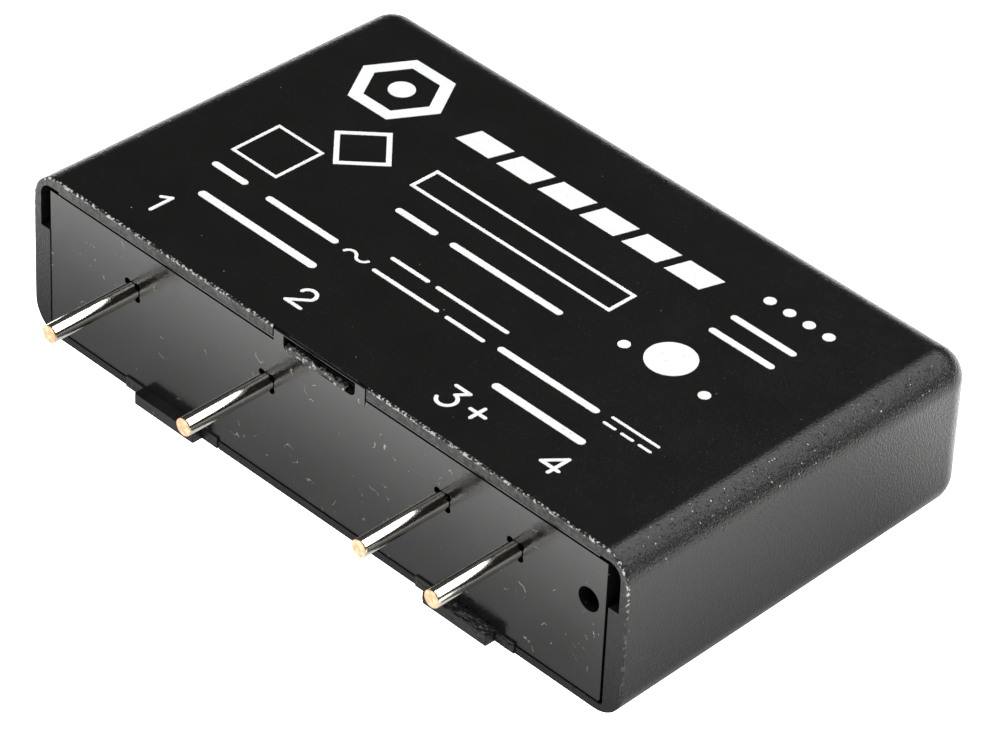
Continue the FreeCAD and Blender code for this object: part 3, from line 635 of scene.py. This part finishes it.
def addPin(number):
    # a pin from its sheared copper end to the blade on the board
    setting = pinPiece
    nodeName = f"pin_{number}"
    nodeLow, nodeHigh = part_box(nodeName)
    axisX = (nodeLow.x + nodeHigh.x) / 2
    back = mouthY + setting["roundEnd"] * mm
    bpy.ops.object.select_all(action="DESELECT")
    bpy.ops.mesh.primitive_cylinder_add(vertices=setting["sides"], radius=setting["radius"] * mm,
                                        depth=back - pinTipY, end_fill_type="NGON",
                                        location=(axisX, (back + pinTipY) / 2, setting["height"] * mm),
                                        rotation=(math.pi / 2, 0, 0))
    piece = bpy.context.object
    piece.name = f"relayPin{number}"
    bpy.ops.object.transform_apply(location=True, rotation=True, scale=True)
    # the inner end: narrow shank, collar and flattened blade
    pickFaces(piece, lambda middle, normal: normal.y > 0.9)
    shank, collar, blade = setting["shank"], setting["collar"], setting["bladeHalf"]
    growPin(0.0, shank / setting["radius"], shank / setting["radius"])
    growPin(setting["collarFront"] - setting["roundEnd"], 1.0, 1.0)
    growPin(0.0, collar / shank, collar / shank)
    growPin(setting["collarBack"] - setting["collarFront"], 1.0, 1.0)
    growPin(0.0, blade / collar, setting["bladeThick"] / 2 / collar)
    growPin(setting["inside"] - setting["collarBack"], 1.0, 1.0)
    bpy.ops.object.mode_set(mode="OBJECT")
    # the outer end: a rounded edge and a rough sheared face
    pickFaces(piece, lambda middle, normal: normal.y < -0.9 and nearPlane(middle.y, pinTipY))
    bpy.ops.mesh.bevel(offset=setting["endRound"] * mm, segments=2, affect="EDGES",
                       clamp_overlap=False)
    bpy.ops.object.mode_set(mode="OBJECT")
    addRing(piece, pinTipY + 3 * setting["endRound"] * mm)
    pickFaces(piece, lambda middle, normal: normal.y < -0.99 and nearPlane(middle.y, pinTipY))
    for ringWidth in setting["cutRings"]:
        bpy.ops.mesh.inset(thickness=ringWidth * mm, depth=0)
    bpy.ops.object.mode_set(mode="OBJECT")
    for corner in piece.data.vertices:
        if corner.co.y < pinTipY + setting["cutWithin"] * mm:
            dent = noise.noise(corner.co / mm * 3.0) + 0.5 * noise.noise(corner.co / mm * 8.0)
            corner.co.y += abs(dent) * setting["roughCut"] * mm
    finishPiece(piece, nodeName, "tinned_wire")


# rough lumps of torn or ragged plastic: the least and greatest corner in millimetres, from the mouth
# of the case in y, how rough they are, and the finish
tornPieces = {
    "gateScar": {"low": (-2.52, -0.02, 9.02), "high": (1.85, 0.30, 9.44), "rough": 0.11,
                 "finish": "gate"},
    "rightFootSkin": {"low": (8.48, -0.73, 0.03), "high": (13.02, 0.02, 0.73), "rough": 0.12,
                      "finish": "ragged"},
    "lugSkinLeftOuter": {"low": (-14.35, -0.09, 0.02), "high": (-13.05, 0.10, 0.50), "rough": 0.08,
                         "finish": "ragged"},
    "lugSkinLeftInner": {"low": (-8.45, -0.09, 0.02), "high": (-7.35, 0.10, 0.50), "rough": 0.08,
                         "finish": "ragged"},
    "lugSkinRightInner": {"low": (7.35, -0.09, 0.02), "high": (8.45, 0.10, 0.50), "rough": 0.08,
                          "finish": "ragged"},
    "lugSkinRightOuter": {"low": (13.05, -0.13, 0.02), "high": (14.35, 0.10, 0.58), "rough": 0.12,
                          "finish": "ragged"},
}
tornFinishes = {
    "gate": brokenMoulding("tornGate", 0.42, 0.50),
    "ragged": brokenMoulding("raggedEdge", 0.10, 0.55),
}
tornSurface = {"cuts": 28, "edge": 0.05, "smoothAngle": 25}


def addTornPiece(name, setting):
    low = Vector(setting["low"])
    high = Vector(setting["high"])
    middle = (low + high) / 2 + Vector((0, mouthY / mm, 0))
    bpy.ops.object.select_all(action="DESELECT")
    bpy.ops.mesh.primitive_cube_add(size=1.0, location=middle * mm)
    piece = bpy.context.object
    piece.name = name
    bpy.context.tool_settings.mesh_select_mode = (False, True, False)
    bpy.ops.object.mode_set(mode="EDIT")
    bpy.ops.mesh.select_all(action="SELECT")
    bpy.ops.transform.resize(value=(high - low) * mm)
    bpy.ops.mesh.bevel(offset=tornSurface["edge"] * mm, segments=1, affect="EDGES")
    bpy.ops.mesh.select_all(action="SELECT")
    bpy.ops.mesh.subdivide(number_cuts=tornSurface["cuts"])
    bpy.ops.object.mode_set(mode="OBJECT")
    bpy.ops.object.transform_apply(location=True, rotation=True, scale=True)
    for corner in piece.data.vertices:
        spot = corner.co / mm
        tear = noise.noise(spot * 2.6) + 0.6 * noise.noise(spot * 7.0)
        if spot.y < middle.y:
            corner.co.y += abs(tear) * setting["rough"] * mm
        if spot.z > middle.z:
            lift = noise.noise(spot * 3.3) + 0.5 * noise.noise(spot * 8.0) - 0.2
            corner.co.z += lift * setting["rough"] * mm
    selectOnly(piece)
    bpy.ops.object.shade_smooth_by_angle(angle=math.radians(tornSurface["smoothAngle"]))
    piece.data.materials.append(tornFinishes[setting["finish"]])
    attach(piece, "root")


addCase()
print("relay: case")
addBase()
for pieceName, pieceSetting in tornPieces.items():
    addTornPiece(pieceName, pieceSetting)
print("relay: base, and the torn plastic round it")
for pinNumber in range(1, 5):
    addPin(pinNumber)
print("relay: pins")


# floorNear is how brightly the floor glows right beside the relay, floorFar how brightly it glows from
# floorSpread millimetres on: the dimmer glow close by is a painted shadow, which the camera does not see
# straight on
lighting = {
    "floorNear": 0.56, "floorFar": 2.70, "floorSpread": 10.0, "floorShade": 0.3, "floorSize": 6.0,
    "floorGap": 0.02, "worldLevel": 0.05,
    "backBox": {"way": (0.32, 0.57, 0.75), "along": (0.92, 0.0, -0.39), "distance": 0.50,
                "size": (0.62, 0.26), "power": 2.6},
    "topBox": {"way": (-0.10, -0.30, 0.95), "along": (1.0, 0.0, 0.0), "distance": 0.80,
               "size": (0.40, 0.40), "power": 3.2},
    "fillBox": {"way": (-0.60, -0.70, 0.60), "along": (1.0, -0.8, 0.0), "distance": 0.70,
                "size": (0.30, 0.30), "power": 0.6},
}


def addFloor():
    # a lit table top: seen by itself it is white, but it glows less close to the relay, a painted shadow
    # in what it lights and in what the relay reflects
    bpy.ops.object.select_all(action="DESELECT")
    low = cadBox[0].z - lighting["floorGap"] * mm
    bpy.ops.mesh.primitive_plane_add(size=lighting["floorSize"], location=(0, 0, low))
    floor = bpy.context.object
    floor.name = "floor"
    material = makeMaterial("paleFloor")
    tree = material.node_tree
    shader = tree.nodes["Principled BSDF"]
    axes = splitPlace(tree, placeInMillimetres(tree))
    beyondX = mathNode(tree, "SUBTRACT", mathNode(tree, "ABSOLUTE", axes["X"]), caseHigh.x / mm)
    beyondY = mathNode(tree, "SUBTRACT", mathNode(tree, "ABSOLUTE", axes["Y"]), -mouthY / mm)
    away = mathNode(tree, "MAXIMUM", beyondX, beyondY)
    paintedShadowRamp = addNode(tree, "ShaderNodeMapRange", interpolation_type="LINEAR")
    tree.links.new(away, paintedShadowRamp.inputs["Value"])
    setInput(paintedShadowRamp, "From Min", 0.0)
    setInput(paintedShadowRamp, "From Max", lighting["floorSpread"])
    paintedShadowFade = mathNode(tree, "POWER", paintedShadowRamp.outputs["Result"], 2.0)
    seen = addNode(tree, "ShaderNodeLightPath").outputs["Is Camera Ray"]
    near, far = lighting["floorNear"], lighting["floorFar"]
    # painted shadow: the floor's glow is turned down close to the relay, for everything but the camera
    level = mixValue(tree, paintedShadowFade, near / far, 1.0)
    level = mixValue(tree, seen, level, 1.0)
    tint = mixColour(tree, level, (0.0, 0.0, 0.0), (1.0, 1.0, 0.99))
    tree.links.new(tint, shader.inputs["Emission Color"])
    shade = lighting["floorShade"]
    setInput(shader, "Base Color", (shade, shade, shade, 1.0))
    setInput(shader, "Roughness", 0.8)
    setInput(shader, "Specular IOR Level", 0.0)
    setInput(shader, "Emission Strength", far)
    floor.data.materials.append(material)


def addSoftbox(name, setting):
    way = Vector(setting["way"]).normalized()
    light = bpy.data.lights.new(name, "AREA")
    light.shape = "RECTANGLE"
    light.size, light.size_y = setting["size"]
    light.energy = setting["power"]
    box = bpy.data.objects.new(name, light)
    along = Vector(setting["along"])
    along = (along - way * along.dot(way)).normalized()
    turn = Matrix((along, way.cross(along), way)).transposed()
    box.matrix_world = Matrix.Translation(way * setting["distance"]) @ turn.to_4x4()
    bpy.context.scene.collection.objects.link(box)


def addWorld():
    world = bpy.data.worlds.new("studio")
    world.use_nodes = True
    background = world.node_tree.nodes["Background"]
    background.inputs["Color"].default_value = (1.0, 1.0, 1.0, 1.0)
    background.inputs["Strength"].default_value = lighting["worldLevel"]
    bpy.context.scene.world = world


cameraView = {
    "azimuth": 43.74, "elevation": 37.60, "roll": 2.85,
    "place": (155.84 * mm, -159.79 * mm, 176.46 * mm),
    "lens": 198.4,
}


def addCamera():
    azimuth = math.radians(cameraView["azimuth"])
    elevation = math.radians(cameraView["elevation"])
    level = math.cos(elevation)
    back = Vector((math.sin(azimuth) * level, -math.cos(azimuth) * level, math.sin(elevation)))
    data = bpy.data.cameras.new("camera")
    data.lens = cameraView["lens"]
    data.sensor_width = 36.0
    data.clip_start = 0.01
    camera = bpy.data.objects.new("camera", data)
    aim = back.to_track_quat("Z", "Y").to_matrix()
    roll = Matrix.Rotation(math.radians(cameraView["roll"]), 3, "Z")
    camera.matrix_world = Matrix.Translation(cameraView["place"]) @ (aim @ roll).to_4x4()
    bpy.context.scene.collection.objects.link(camera)
    bpy.context.scene.camera = camera


addFloor()
for boxName in ("backBox", "topBox", "fillBox"):
    addSoftbox(boxName, lighting[boxName])
addWorld()
addCamera()
bpy.context.scene.view_settings.view_transform = "Standard"
print("relay: floor, light and camera")
